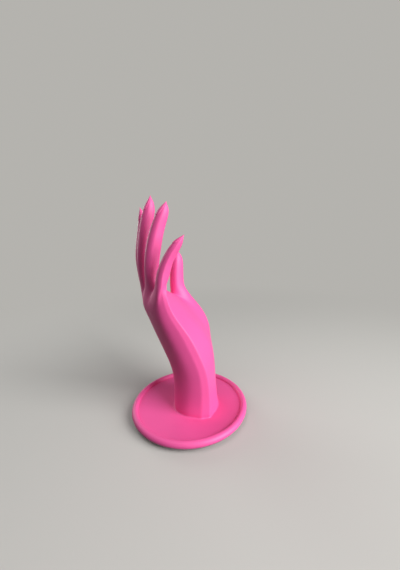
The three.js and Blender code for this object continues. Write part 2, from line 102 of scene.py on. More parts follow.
# Roots of the fingers, column by column from the little finger's edge to the index finger's.
# Even columns lie in the webs, odd columns on the fingers. Rises are over the crest of the palm.
ROOT_PALM_X = (-15.2, -10.9, -19.5, -21.5, -27, -28, -32.5, -32, -36)
ROOT_PALM_RISE = (4, 5, -2, 1, -5, -1, -7, -2, -7)
ROOT_BACK_X = (-20.5, -23.2, -26, -33.5, -35.5, -41, -40.5, -45, -42.5)
ROOT_BACK_RISE = (-6, -1, -7, -1, -7, -1, -7, -1, -7)
ROOT_EDGE_Y = (-27.8, 28.2)

# Digits. nail: how far the nail runs back from the tip.
# root: x, y and the rise over the crest of the palm where the first station lies.
# Each station is (share of the length, lean towards the palm from there on, thickness, breadth).
FINGERS = {
    "little": dict(length=LITTLE_FINGER_LENGTH, nail=11, root=(-15.2, -21.8, 11), tip_y=-24.5, stations=(
        (0, 18.6, 11, 11.2), (0.223, 26, 9.8, 10.4), (0.452, 35.4, 8.6, 9.6),
        (0.652, 39.4, 8.2, 8.6), (0.823, 37.7, 6.4, 6.2))),
    "ring": dict(length=RING_FINGER_LENGTH, nail=14, root=(-26.8, -7.3, 10), tip_y=-8.4, stations=(
        (0, 6.5, 12, 12), (0.225, 12.2, 12.9, 11.8), (0.438, 17.1, 12.6, 11.2),
        (0.672, 26.3, 11.2, 10.4), (0.824, 24.4, 10.2, 9), (0.92, 15.2, 6.8, 6.2))),
    "middle": dict(length=MIDDLE_FINGER_LENGTH, nail=14.5, root=(-35.2, 7.2, 9), tip_y=8.4, stations=(
        (0, -0.4, 12, 12), (0.217, 7.5, 12.2, 11.9), (0.45, 10.5, 11.5, 11.3),
        (0.656, 18.6, 11, 10.4), (0.802, 13.8, 10.6, 9), (0.904, 3.5, 7.2, 6.2))),
    "index": dict(length=INDEX_FINGER_LENGTH, nail=12.5, root=(-38.8, 21.6, 7), tip_y=25, stations=(
        (0, -7, 11.8, 11.8), (0.257, 8.3, 11.8, 11.5), (0.531, 8.7, 11, 10.9),
        (0.741, -2, 10.2, 9.8), (0.877, -15.1, 7.4, 7))),
}
THUMB = dict(length=THUMB_LENGTH, nail=12, root=(-7.6, 23, -11), tip_y=23, stations=(
    (0, -4.3, 15, 14), (0.203, 1.9, 13.6, 13.4), (0.431, 5.4, 13, 12.8),
    (0.672, 6.5, 12.4, 11.8), (0.85, 5.8, 9.6, 8.8)))

# The thumb grows out of the palm between this section and the next, over the last two columns.
THUMB_SECTION = 5
THUMB_COLUMN = 6

# Two ridges run along the little-finger edge of the palm. The outer one goes on to the tip of the
# little finger, the inner one ends at the finger's root. A softer one runs along each side of every
# digit. A sharpness is the number of smoothing steps that leave an edge sharp.
OUTER_RIDGE_COLUMN = 0
INNER_RIDGE_COLUMN = 1
RIDGE_SHARPNESS = 2.2
DIGIT_RIDGE_SHARPNESS = 1.2
FULL_SHARPNESS = 10

# Corners round a digit: the angle from the middle of the back, and how far the control point reaches
# for the smoothed digit to have its thickness and breadth. The first and third are ridges.
DIGIT_CORNERS = ((265, 1.05), (180, 1.45), (95, 1.05), (50, 1.1), (0, 1.15), (-50, 1.1))
DIGIT_RIDGE_CORNERS = (0, 2)

# Camera: its place, its angles in degrees, its lens and the nearest thing that it sees.
CAMERA_PLACE = (0.014426, -0.227031, 0.171478)
CAMERA_TILT = 78.0335
CAMERA_ROLL = -2.1179
CAMERA_LENS = 16.484
CAMERA_SENSOR = 36
CAMERA_NEAR = 0.01

# Floor: its size, the grey that it has for the light that it throws back, and the distances from
# the display over which it fades into the backdrop.
FLOOR_RADIUS = 12
FLOOR_SIDES = 96
FLOOR_BOUNCE = 0.04
FADE_START = 0.12
FADE_END = 0.6
LIGHT_TARGET = (0, 0, 0.1)


def length(name, description, default, low, high):
    """A length that is given in millimetres."""
    return FloatProperty(
        name=name, description=description, default=default * MM, min=low * MM, max=high * MM,
        subtype="DISTANCE", unit="LENGTH")


def power(name, description, default):
    return FloatProperty(
        name=name, description=description, default=default, min=0, max=200, unit="POWER")


def tone(name, description, default):
    return FloatVectorProperty(
        name=name, description=description, default=default, min=0, max=1, size=3, subtype="COLOR")


class HandProperties(PropertyGroup):
    """Sizes and colour of the hand."""

    smoothness: IntProperty(
        name="Smoothness", description="Levels of smoothing of the hand's surface",
        default=4, min=1, max=5)
    foot_fillet: length(
        "Foot fillet", "Radius of the fillet where the wrist meets the tray", 1.6, 0.2, 4)
    nail_height: length("Nail height", "How far a nail stands above the finger", 0.34, 0, 2)
    nail_spread: FloatProperty(
        name="Nail spread", description="Half of the angle that a nail takes round the finger",
        default=math.radians(58), min=0.2, max=1.5, subtype="ANGLE", unit="ROTATION")
    colour: tone("Colour", "Colour of the satin plastic", (0.88, 0.103, 0.354))


class TrayProperties(PropertyGroup):
    """Sizes of the tray."""

    bead_radius: length("Bead radius", "Radius of the rolled rim", 3.2, 1, 8)
    bead_inner_share: FloatProperty(
        name="Bead inner share", description="Width of the rim's inner half, as a share of its radius",
        default=0.8, min=0.5, max=1)
    floor_height: length(
        "Floor height", "Height of the tray's floor above the table", 6.5, 3, 12)
    underside_radius: length("Underside radius", "Radius of the flat underside", 43, 20, 52)
    sides: IntProperty(
        name="Sides", description="Steps round the tray", default=256, min=32, max=512)


class FixingProperties(PropertyGroup):
    """Sizes and colours of the screws, the inserts and the feet."""

    thread_pitch: length(
        "Thread pitch", "Distance between two turns of the screw thread", 0.5, 0.2, 1.5)
    knurl_teeth: IntProperty(
        name="Knurl teeth", description="Teeth round a brass insert", default=24, min=8, max=60)
    steel: tone("Steel", "Colour of the screws", (0.52, 0.53, 0.55))
    brass: tone("Brass", "Colour of the inserts", (0.72, 0.46, 0.16))
    rubber: tone("Rubber", "Colour of the feet", (0.025, 0.025, 0.027))


class StudioProperties(PropertyGroup):
    """Light and surroundings."""

    key_power: power("Key light", "Power of the large light on the palm's side", 23.5)
    back_power: power("Back light", "Power of the large light over the back of the hand", 5.5)
    top_power: power("Top light", "Power of the soft light over the fingers", 3)
    sky_strength: FloatProperty(
        name="Sky strength", description="Strength of the even light from all round",
        default=0.022, min=0, max=2)
    floor_colour: tone("Floor", "Colour of the floor round the display", (0.6, 0.59, 0.56))
    backdrop: tone(
        "Backdrop", "Colour of the backdrop, into which the floor fades", (0.46, 0.45, 0.425))


def lerp(start, end, share):
    return start + (end - start) * share


def smooth_step(value):
    value = min(max(value, 0.0), 1.0)
    return value * value * (3 - 2 * value)


# Meshes

def new_object(name, mesh):
    piece = bpy.data.objects.new(name, mesh)
    bpy.context.scene.collection.objects.link(piece)
    return piece


def object_from_bmesh(name, bm, sharp_angle=40):
    bmesh.ops.recalc_face_normals(bm, faces=bm.faces)
    mesh = bpy.data.meshes.new(name)
    bm.to_mesh(mesh)
    bm.free()
    mesh.polygons.foreach_set("use_smooth", [True] * len(mesh.polygons))
    mesh.set_sharp_from_angle(angle=math.radians(sharp_angle))
    return new_object(name, mesh)


def settle(piece, material, nodes=()):
    """Gives a piece its material and says what it rides on and stands for."""
    piece.data.materials.clear()
    piece.data.materials.append(material)
    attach(piece, BODY)
    if nodes:
        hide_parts(*nodes)


def round_point(radius, side, sides, height):
    """The point at one side of a ring round Z."""
    angle = 2 * math.pi * side / sides
    return radius * math.cos(angle), radius * math.sin(angle), height


def ring_at(radius, height, sides):
    return [round_point(radius, side, sides, height) for side in range(sides)]


def revolved_bmesh(profile, sides):
    """Turns a profile of (radius, height) round Z. A point on the axis becomes one vertex."""
    bm = bmesh.new()
    rings = []
    for radius, height in profile:
        if radius == 0:
            rings.append([bm.verts.new((0, 0, height))] * sides)
            continue
        rings.append([bm.verts.new(point) for point in ring_at(radius, height, sides)])
    for lower, upper in zip(rings, rings[1:]):
        join_rings(bm, lower, upper)
    return bm


def join_rings(bm, lower, upper):
    """Faces between two rings of vertices, where repeats fall together."""
    for side, corner in enumerate(lower):
        following = (side + 1) % len(lower)
        loop = []
        for vert in (corner, lower[following], upper[following], upper[side]):
            if vert not in loop:
                loop.append(vert)
        if len(loop) > 2:
            bm.faces.new(loop)


def bmesh_from_rings(rings, closed=False):
    """Joins rings of points, and closes the ends with a face each or by joining last and first."""
    bm = bmesh.new()
    made = [[bm.verts.new(point) for point in ring] for ring in rings]
    for lower, upper in zip(made, made[1:]):
        join_rings(bm, lower, upper)
    if closed:
        join_rings(bm, made[-1], made[0])
    else:
        bm.faces.new(made[0][::-1])
        bm.faces.new(made[-1])
    return bm


def arc(centre, radius, start, end, steps):
    """Points of (radius, height) along an arc in degrees."""
    points = []
    for step in range(steps + 1):
        angle = math.radians(lerp(start, end, step / steps))
        points.append((
            centre[0] + radius * math.cos(angle),
            centre[1] + radius * math.sin(angle)))
    return points


def move_to_middle(piece, low, high):
    """Moves a piece that was made round Z to the middle of a box."""
    middle = (low + high) / 2
    piece.data.transform(Matrix.Translation((middle.x, middle.y, 0)))


def cut_away(piece, cutters):
    """Takes the cutters out of a piece and deletes them."""
    for cutter in cutters:
        modifier = piece.modifiers.new("cut", "BOOLEAN")
        modifier.operation = "DIFFERENCE"
        modifier.solver = "EXACT"
        modifier.object = cutter
    graph = bpy.context.evaluated_depsgraph_get()
    cut = bpy.data.meshes.new_from_object(piece.evaluated_get(graph))
    piece.modifiers.clear()
    piece.data = cut
    for cutter in cutters:
        bpy.data.objects.remove(cutter)


# Hand

FLOOR_TOP = HAND_LOW.z / MM
CREST = FLOOR_TOP + PALM_HEIGHT
FILLET_STEPS = 8
HAND_SHARP_ANGLE = 50


def across_hand(row, share, fullness):
    """One edge-to-edge row of the palm or the back: one value, or three that are full in the middle."""
    little_edge, middle, thumb_edge = row if isinstance(row, tuple) else (row, row, row)
    side = 2 * share - 1
    edge = little_edge if side < 0 else thumb_edge
    return middle + (edge - middle) * abs(side) ** fullness


def palm_x(section, share):
    """The palm's surface, with its cup in the middle."""
    cup = (1 - (2 * share - 1) ** 2) ** 2
    return across_hand(section["palm"], share, section["fullness"]) - section["hollow"] * cup


def row_height(rise, share):
    return FLOOR_TOP + PALM_HEIGHT * across_hand(rise, share, 1)


def palm_ring(section):
    palm_row = []
    back_row = []
    for column in range(COLUMNS):
        share = column / (COLUMNS - 1)
        x, y = palm_x(section, share), lerp(*section["palm_y"], share)
        if column == INNER_RIDGE_COLUMN:
            x, y = section["ridge"]
        palm_row.append(Vector((x, y, row_height(section["palm_rise"], share))))
        rise = KNUCKLE_RISE if section is PALM_SECTIONS[-1] and column % 2 else 0
        back_row.append(Vector((
            across_hand(section["back"], share, section["fullness"]) - rise,
            lerp(*section["back_y"], share),
            row_height(section["back_rise"], share))))
    return palm_row + back_row[::-1]


def root_ring():
    def row(xs, rises):
        return [
            Vector((x, lerp(*ROOT_EDGE_Y, column / (COLUMNS - 1)), CREST + rise))
            for column, (x, rise) in enumerate(zip(xs, rises))]

    return row(ROOT_PALM_X, ROOT_PALM_RISE) + row(ROOT_BACK_X, ROOT_BACK_RISE)[::-1]


def palm_way(ahead):
    """The way that the palm side of a digit faces where the digit runs ahead."""
    return Vector((ahead.z, 0, -ahead.x)).normalized()


def digit_line(digit):
    """The centres of a digit's stations, and its tip."""
    root_x, root_y, rise = digit["root"]
    line = [Vector((root_x, root_y, CREST + rise))]
    shares = [station[0] for station in digit["stations"]] + [1]
    for (share, lean, _, _), end in zip(digit["stations"], shares[1:]):
        step = digit["length"] * (end - share)
        line.append(Vector((
            line[-1].x + step * math.sin(math.radians(lean)),
            lerp(root_y, digit["tip_y"], end),
            line[-1].z + step * math.cos(math.radians(lean)))))
    return line


class Cage:
    """Coarse cage of the hand in millimetres, with its sharp edges and the digits' centre lines."""

    def __init__(self):
        self.points = []
        self.faces = []
        self.sharp = {}
        self.corners = []
        self.lines = {}

    def add_points(self, points):
        first = len(self.points)
        self.points.extend(points)
        return list(range(first, len(self.points)))

    def add_band(self, lower, upper, skipped=()):
        for place, corner in enumerate(lower):
            if place not in skipped:
                following = (place + 1) % len(lower)
                self.faces.append((corner, lower[following], upper[following], upper[place]))

    def sharpen(self, lower, upper, corner, sharpness):
        self.sharp[lower[corner], upper[corner]] = sharpness

    def add_digit(self, name, root_indexes, digit):
        root = sum((self.points[index] for index in root_indexes), Vector()) / len(root_indexes)
        line = [root, *digit_line(digit)]
        rings = [root_indexes]
        for station, (_, _, thickness, breadth) in enumerate(digit["stations"]):
            centre = line[station + 1]
            ahead = line[station + 2] - line[station]
            ring = []
            for angle, reach in DIGIT_CORNERS:
                towards_palm = -thickness / 2 * reach * math.cos(math.radians(angle))
                sideways = breadth / 2 * reach * math.sin(math.radians(angle))
                ring.append(centre + palm_way(ahead) * towards_palm + Vector((0, sideways, 0)))
            rings.append(self.add_points(ring))
            self.add_band(rings[-2], rings[-1])
        tip, = self.add_points([line[-1]])
        self.corners.append(tip)
        last = rings[-1]
        for place, corner in enumerate(last):
            self.faces.append((corner, last[(place + 1) % len(last)], tip))
        rings.append([tip] * len(last))
        for lower, upper in zip(rings[1:], rings[2:]):
            for corner in DIGIT_RIDGE_CORNERS:
                self.sharpen(lower, upper, corner, DIGIT_RIDGE_SHARPNESS)
        self.lines[name] = line
        return rings


def hand_cage():
    cage = Cage()
    rings = [cage.add_points(ring) for ring in [*map(palm_ring, PALM_SECTIONS), root_ring()]]
    cage.faces.append(tuple(rings[0][::-1]))
    for section, (lower, upper) in enumerate(zip(rings, rings[1:])):
        skipped = (THUMB_COLUMN, THUMB_COLUMN + 1) if section == THUMB_SECTION else ()
        cage.add_band(lower, upper, skipped)
        cage.sharpen(lower, upper, OUTER_RIDGE_COLUMN, RIDGE_SHARPNESS)
        cage.sharpen(lower, upper, INNER_RIDGE_COLUMN, RIDGE_SHARPNESS)

    columns = range(THUMB_COLUMN, THUMB_COLUMN + 3)
    below = [rings[THUMB_SECTION][column] for column in columns]
    above = [rings[THUMB_SECTION + 1][column] for column in columns]
    cage.add_digit("thumb", below + above[::-1], THUMB)
    roots = rings[-1]
    for place, (name, finger) in enumerate(FINGERS.items()):
        columns = range(2 * place, 2 * place + 3)
        palm_side = [roots[column] for column in columns]
        back_side = [roots[len(roots) - 1 - column] for column in columns]
        finger_rings = cage.add_digit(name, palm_side + back_side[::-1], finger)
        if name == "little":
            for lower, upper in zip(finger_rings, finger_rings[1:]):
                cage.sharpen(lower, upper, OUTER_RIDGE_COLUMN, RIDGE_SHARPNESS)
    return cage


def crease_weight(sharpness):
    """The crease weight that keeps an edge sharp for a number of smoothing steps."""
    return math.sqrt(sharpness / FULL_SHARPNESS)


def smoothed_cage(cage, levels):
    """The cage as a smooth mesh in metres."""
    bm = bmesh.new()
    edge_layer = bm.edges.layers.float.new("crease_edge")
    corner_layer = bm.verts.layers.float.new("crease_vert")
    verts = [bm.verts.new(point * MM) for point in cage.points]
    for face in cage.faces:
        bm.faces.new([verts[index] for index in face])
    for (start, end), sharpness in cage.sharp.items():
        bm.edges.get((verts[start], verts[end]))[edge_layer] = crease_weight(sharpness)
    for corner in cage.corners:
        verts[corner][corner_layer] = crease_weight(FULL_SHARPNESS)
    mesh = bpy.data.meshes.new("cage")
    bm.to_mesh(mesh)
    bm.free()
    coarse = new_object("cage", mesh)
    modifier = coarse.modifiers.new("smooth", "SUBSURF")
    modifier.levels = levels
    modifier.render_levels = levels
    graph = bpy.context.evaluated_depsgraph_get()
    smooth = bpy.data.meshes.new_from_object(coarse.evaluated_get(graph))
    bpy.data.objects.remove(coarse)
    return smooth


def standing_bmesh(mesh, floor_height, fillet):
    """The hand cut flat where it stands on the tray's floor, with a fillet round its foot."""
    bm = bmesh.new()
    bm.from_mesh(mesh)
    for step in range(FILLET_STEPS, -1, -1):
        height = floor_height + fillet * (1 - math.cos(math.radians(90 * step / FILLET_STEPS)))
        cut = bmesh.ops.bisect_plane(
            bm, geom=[*bm.verts, *bm.edges, *bm.faces], plane_co=(0, 0, height),
            plane_no=(0, 0, 1), clear_inner=step == 0)
    rim = [item for item in cut["geom_cut"] if isinstance(item, bmesh.types.BMEdge)]
    bm.normal_update()
    moves = []
    for vert in bm.verts:
        left = fillet - (vert.co.z - floor_height)
        if left > 0:
            outward = Vector((vert.normal.x, vert.normal.y, 0)).normalized()
            moves.append((vert, outward * (fillet - math.sqrt(max(fillet ** 2 - left ** 2, 0)))))
    for vert, move in moves:
        vert.co += move
    bmesh.ops.edgeloop_fill(bm, edges=rim)
    return bm


# Nails, with distances in millimetres

NAIL_ROWS = 36
NAIL_COLUMNS = 28
NAIL_CUTICLE_SHARE = 0.3
NAIL_TIP_SPREAD = 1.29
NAIL_EDGE_SHARE = 0.16
NAIL_DEPTH = 0.6
NAIL_TIP_LIFT = 0.35
NAIL_TIP_GAP = 0.02
NAIL_CUTICLE_SLOPE = 2.2
NAIL_UNDERSIDE_SPREAD = 0.98
NAIL_SINK = 0.05
NAIL_SEARCH = 12
NAIL_SHARP_ANGLE = 60
MERGED_DISTANCE = 0.01
SHORTEST_EDGE = 0.001


def point_back_from_tip(line, distance):
    """The place and direction on a centre line, a distance back from the tip, in millimetres."""
    for start, end in zip(line[-2::-1], line[:0:-1]):
        step = end - start
        if distance <= step.length:
            return end - step.normalized() * distance, step.normalized()
        distance -= step.length
    return line[0], (line[1] - line[0]).normalized()


def smooth_ahead(line, distance, reach=4):
    """The direction of a centre line, evened out over a reach to both sides."""
    behind, _ = point_back_from_tip(line, distance + reach)
    before, _ = point_back_from_tip(line, max(distance - reach, 0))
    return (before - behind).normalized()


def nail_surface_point(tree, line, distance, angle, lift):
    """A point over the back of a digit, in metres: distance back from the tip and angle round it."""
    centre, _ = point_back_from_tip(line, distance)
    ahead = smooth_ahead(line, distance)
    back_way = -palm_way(ahead)
    side_way = back_way.cross(ahead).normalized()
    outwards = back_way * math.cos(angle) + side_way * math.sin(angle)
    hit, normal, _, _ = tree.ray_cast(centre * MM, outwards, NAIL_SEARCH * MM)
    if hit is None:
        return centre * MM
    return hit + normal * lift * MM


def nail_bmesh(tree, line, length, height, spread):
    """A nail that lies on the back of a digit: rounded at the cuticle, pointed at the tip."""
    bm = bmesh.new()
    top = []
    bottom = []
    for row in range(NAIL_ROWS + 1):
        share = row / NAIL_ROWS
        top_row = []
        bottom_row = []
        for column in range(NAIL_COLUMNS + 1):
            across = math.sin(math.pi * (column / NAIL_COLUMNS - 0.5))
            start = NAIL_CUTICLE_SHARE * (1 - math.sqrt(max(1 - across * across, 0)))
            along = lerp(start, 1, share)
            distance = max(length * (1 - along), NAIL_TIP_GAP)
            angle = across * spread * lerp(1, NAIL_TIP_SPREAD, smooth_step(along))
            edge = min(1 - abs(across), NAIL_CUTICLE_SLOPE * (along - start)) / NAIL_EDGE_SHARE
            rise = math.sqrt(max(1 - (1 - min(max(edge, 0), 1)) ** 2, 0))
            lift = height * rise * lerp(1, NAIL_TIP_LIFT, smooth_step(along))
            top_row.append(bm.verts.new(nail_surface_point(tree, line, distance, angle, lift)))
            depth = -NAIL_DEPTH * (1 - along) - NAIL_SINK
            bottom_row.append(bm.verts.new(nail_surface_point(
                tree, line, distance, angle * NAIL_UNDERSIDE_SPREAD, depth)))
        top.append(top_row)
        bottom.append(bottom_row)
    for row in range(NAIL_ROWS):
        for column in range(NAIL_COLUMNS):
            for layer in (top, bottom):
                corners = [
                    layer[row][column], layer[row][column + 1],
                    layer[row + 1][column + 1], layer[row + 1][column]]
                bm.faces.new(corners if layer is top else corners[::-1])
    rim = [(0, column) for column in range(NAIL_COLUMNS)]
    rim += [(row, NAIL_COLUMNS) for row in range(NAIL_ROWS)]
    rim += [(NAIL_ROWS, column) for column in range(NAIL_COLUMNS, 0, -1)]
    rim += [(row, 0) for row in range(NAIL_ROWS, 0, -1)]
    for (row, column), (next_row, next_column) in zip(rim, rim[1:] + rim[:1]):
        bm.faces.new((
            top[row][column], bottom[row][column],
            bottom[next_row][next_column], top[next_row][next_column]))
    bmesh.ops.remove_doubles(bm, verts=bm.verts, dist=MERGED_DISTANCE * MM)
    bmesh.ops.dissolve_degenerate(bm, edges=bm.edges, dist=SHORTEST_EDGE * MM)
    return bm


# Materials

def material_nodes(name):
    material = bpy.data.materials.new(name)
    material.use_nodes = True
    nodes = material.node_tree.nodes
    links = material.node_tree.links
    shader = nodes["Principled BSDF"]
    return material, nodes, links, shader


def add_node(nodes, kind, **values):
    node = nodes.new(kind)
    for name, value in values.items():
        node.inputs[name.replace("_", " ").title()].default_value = value
    return node


def noise(nodes, links, scale, detail):
    place = nodes.new("ShaderNodeTexCoord")
    texture = add_node(nodes, "ShaderNodeTexNoise", scale=scale, detail=detail)
    links.new(place.outputs["Object"], texture.inputs["Vector"])
    return texture


def spread(nodes, links, source, low, high):
    """Turns a 0 to 1 value into one from low to high."""
    range_node = add_node(nodes, "ShaderNodeMapRange", to_min=low, to_max=high)
    links.new(source, range_node.inputs["Value"])
    return range_node.outputs["Result"]


def tint(nodes, links, source, colour, darker, lighter):
    """A colour that drifts between a darker and a lighter form of itself."""
    ramp = nodes.new("ShaderNodeValToRGB")
    ramp.color_ramp.elements[0].position = 0.3
    ramp.color_ramp.elements[1].position = 0.7
    ramp.color_ramp.elements[0].color = (*[part * darker for part in colour], 1)
    ramp.color_ramp.elements[1].color = (*[min(part * lighter, 1) for part in colour], 1)
    links.new(source, ramp.inputs["Fac"])
    return ramp.outputs["Color"]


def bump(nodes, links, shader, source, strength, distance):
    node = add_node(nodes, "ShaderNodeBump", strength=strength, distance=distance)
    links.new(source, node.inputs["Height"])
    links.new(node.outputs["Normal"], shader.inputs["Normal"])


def satin_plastic(name, colour):
    """Moulded plastic with a satin skin: a soft drift of colour, a fine grain and a broad shine."""
    material, nodes, links, shader = material_nodes(name)
    drift = noise(nodes, links, scale=28, detail=2).outputs["Fac"]
    links.new(
        tint(nodes, links, drift, colour, darker=0.97, lighter=1.03), shader.inputs["Base Color"])
    grain = noise(nodes, links, scale=1400, detail=4).outputs["Fac"]
    links.new(spread(nodes, links, grain, low=0.42, high=0.54), shader.inputs["Roughness"])
    bump(nodes, links, shader, grain, strength=0.12, distance=0.05 * MM)
    shader.inputs["Specular IOR Level"].default_value = 0.45
    return material


def metal(name, colour, low, high):
    """Plain metal with faint turning marks."""
    material, nodes, links, shader = material_nodes(name)
    marks = noise(nodes, links, scale=2400, detail=2).outputs["Fac"]
    links.new(
        tint(nodes, links, marks, colour, darker=0.92, lighter=1.05), shader.inputs["Base Color"])
    links.new(spread(nodes, links, marks, low, high), shader.inputs["Roughness"])
    bump(nodes, links, shader, marks, strength=0.15, distance=0.02 * MM)
    shader.inputs["Metallic"].default_value = 1
    return material


def rubber(name, colour):
    """Matt rubber with a fine moulded grain."""
    material, nodes, links, shader = material_nodes(name)
    grain = noise(nodes, links, scale=1800, detail=4).outputs["Fac"]
    links.new(
        tint(nodes, links, grain, colour, darker=0.8, lighter=1.25), shader.inputs["Base Color"])
    links.new(spread(nodes, links, grain, low=0.72, high=0.92), shader.inputs["Roughness"])
    bump(nodes, links, shader, grain, strength=0.4, distance=0.06 * MM)
    shader.inputs["Specular IOR Level"].default_value = 0.3
    return material


def plastic_material(context):
    name = "satin_pink_plastic"
    return bpy.data.materials.get(name) or satin_plastic(name, context.scene.display_hand.colour)


# Operators

class DISPLAY_OT_hand(Operator):
    """Build the hand, cut flat at the wrist where it stands on the tray"""

    bl_idname = "display.hand"
    bl_label = "Hand"

    def execute(self, context):
        smooth = smoothed_cage(hand_cage(), context.scene.display_hand.smoothness)
        bm = standing_bmesh(smooth, HAND_LOW.z, context.scene.display_hand.foot_fillet)
        hand = object_from_bmesh("hand_form", bm, HAND_SHARP_ANGLE)
        settle(hand, plastic_material(context), ["hand"])
        return {"FINISHED"}


class DISPLAY_OT_nails(Operator):
    """Lay a pointed nail on the back of each fingertip"""

    bl_idname = "display.nails"
    bl_label = "Nails"

    def execute(self, context):
        props = context.scene.display_hand
        lines = hand_cage().lines
        hand = bpy.data.objects["hand_form"]
        bm = bmesh.new()
        bm.from_mesh(hand.data)
        tree = BVHTree.FromBMesh(bm)
        for name, digit in [*FINGERS.items(), ("thumb", THUMB)]:
            nail = nail_bmesh(
                tree, lines[name], digit["nail"], props.nail_height / MM, props.nail_spread)
            piece = object_from_bmesh(f"nail_{name}", nail, NAIL_SHARP_ANGLE)
            settle(piece, plastic_material(context))
        bm.free()
        return {"FINISHED"}


# Rim of the tray: arcs in degrees with their steps, then lengths in millimetres.
BEAD_ARC = (-120, 87, 30)
BEAD_INNER_ARC = (90, 176, 14)
UNDERSIDE_EDGE_WIDTH = 0.5
UNDERSIDE_EDGE_RISE = 0.12
UNDERCUT_RISE = 1.5
FLOOR_EDGE_WIDTH = 0.4
FLOOR_EDGE_STEP = 0.12
FLOOR_EDGE_RISE = 0.08
TRAY_SHARP_ANGLE = 35

# Fixings and feet in millimetres. Cutters reach from below the tray to above its floor.
FIXING_CLEARANCE = 0.15
FOOT_CLEARANCE = 0.3
BORE_RADIUS = 1.65
CUT_BELOW = -1
CUT_ABOVE = 12
HOLE_SIDES = 48
FOOT_SIDES = 64
FOOT_EDGE = 1
FOOT_EDGE_STEPS = 10
FOOT_CHAMFER = 0.3
FOOT_DIMPLE_DEPTH = 0.2
FOOT_DIMPLE_INNER_SHARE = 0.35
FOOT_DIMPLE_OUTER_SHARE = 0.42
SHANK_RADIUS = 1.5
HEAD_HEIGHT = 1.5
HEAD_LAND = 0.2
HEAD_CHAMFER = 0.05
POINT_CHAMFER = 0.4
SOCKET_WIDTH = 2.0
SOCKET_DEPTH = 0.9
SOCKET_POINT = 0.3
THREAD_SIDES = 32
THREAD_STEPS = 8
THREAD_DEPTH = 0.28
THREAD_START = 0.1
FIXING_SHARP_ANGLE = 30

# Knurls of an insert: shares of its length that are plain bands, how deep these and the teeth lie
# in millimetres, and the share of a turn by which the teeth lean over half of its length.
KNURL_STEPS = 24
PLAIN_BANDS = ((0, 0.12), (0.44, 0.56), (0.88, 1))
BAND_DEPTH = 0.35
TOOTH_DEPTH = 0.22
KNURL_LEAN = 0.12


class DISPLAY_OT_tray(Operator):
    """Turn the round tray with its rolled rim, and sink the screw holes and the foot recesses"""

    bl_idname = "display.tray"
    bl_label = "Tray"

    def execute(self, context):
        props = context.scene.display_tray
        radius = props.bead_radius
        centre = (DISH_HIGH.x - radius, DISH_HIGH.z - radius)
        inner_foot = centre[0] - radius * props.bead_inner_share
        inner_side = [
            (centre[0] + (x - centre[0]) * props.bead_inner_share, z)
            for x, z in arc(centre, radius, *BEAD_INNER_ARC)]
        profile = [
            (0, DISH_LOW.z),
            (props.underside_radius - UNDERSIDE_EDGE_WIDTH * MM, DISH_LOW.z),
            (props.underside_radius, DISH_LOW.z + UNDERSIDE_EDGE_RISE * MM),
            (centre[0] - radius, DISH_LOW.z + UNDERCUT_RISE * MM),
            *arc(centre, radius, *BEAD_ARC),
            *inner_side,
            (inner_foot - FLOOR_EDGE_STEP * MM, props.floor_height + FLOOR_EDGE_RISE * MM),
            (inner_foot - FLOOR_EDGE_WIDTH * MM, props.floor_height),
            (0, props.floor_height),
        ]
        tray = object_from_bmesh("tray", revolved_bmesh(profile, props.sides), TRAY_SHARP_ANGLE)
        cutters = [self.screw_cutter(*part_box(name)) for name in SCREW_NODES]
        cutters += [self.foot_cutter(*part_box(name)) for name in FOOT_NODES]
        cut_away(tray, cutters)
        tray.data.set_sharp_from_angle(angle=math.radians(TRAY_SHARP_ANGLE))
        settle(tray, plastic_material(context), ["dish"])
        return {"FINISHED"}

    def screw_cutter(self, low, high):
        """The countersink and the hole of the screw that fills a box."""
        head = (high.x - low.x) / 2 + FIXING_CLEARANCE * MM
        throat = BORE_RADIUS * MM
        return self.cutter(low, high, HOLE_SIDES, [
            (0, CUT_BELOW * MM), (head, CUT_BELOW * MM), (head, low.z),
            (throat, low.z + HEAD_HEIGHT * MM), (throat, CUT_ABOVE * MM), (0, CUT_ABOVE * MM)])

    def foot_cutter(self, low, high):
        """The recess of the foot that fills a box."""
        wall = (high.x - low.x) / 2 + FOOT_CLEARANCE * MM
        return self.cutter(low, high, FOOT_SIDES, [
            (0, CUT_BELOW * MM), (wall, CUT_BELOW * MM), (wall, high.z), (0, high.z)])

    def cutter(self, low, high, sides, profile):
        cutter = object_from_bmesh("cutter", revolved_bmesh(profile, sides))
        move_to_middle(cutter, low, high)
        return cutter


class DISPLAY_OT_feet(Operator):
    """Make the four rubber feet with their rounded edges"""

    bl_idname = "display.feet"
    bl_label = "Feet"

    def execute(self, context):
        material = rubber("black_rubber", context.scene.display_fixings.rubber)
        for number, name in enumerate(FOOT_NODES, start=1):
            low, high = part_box(name)
            radius = (high.x - low.x) / 2
            edge = FOOT_EDGE * MM
            profile = [
                (0, low.z + FOOT_DIMPLE_DEPTH * MM),
                (radius * FOOT_DIMPLE_INNER_SHARE, low.z + FOOT_DIMPLE_DEPTH * MM),
                (radius * FOOT_DIMPLE_OUTER_SHARE, low.z),
                *arc((radius - edge, low.z + edge), edge, -90, 0, FOOT_EDGE_STEPS),
                (radius, high.z - FOOT_CHAMFER * MM),
                (radius - FOOT_CHAMFER * MM, high.z),
                (0, high.z),
            ]
            bm = revolved_bmesh(profile, FOOT_SIDES)
            foot = object_from_bmesh(f"rubber_foot_{number}", bm, TRAY_SHARP_ANGLE)
            move_to_middle(foot, low, high)
            settle(foot, material, [name])
        return {"FINISHED"}


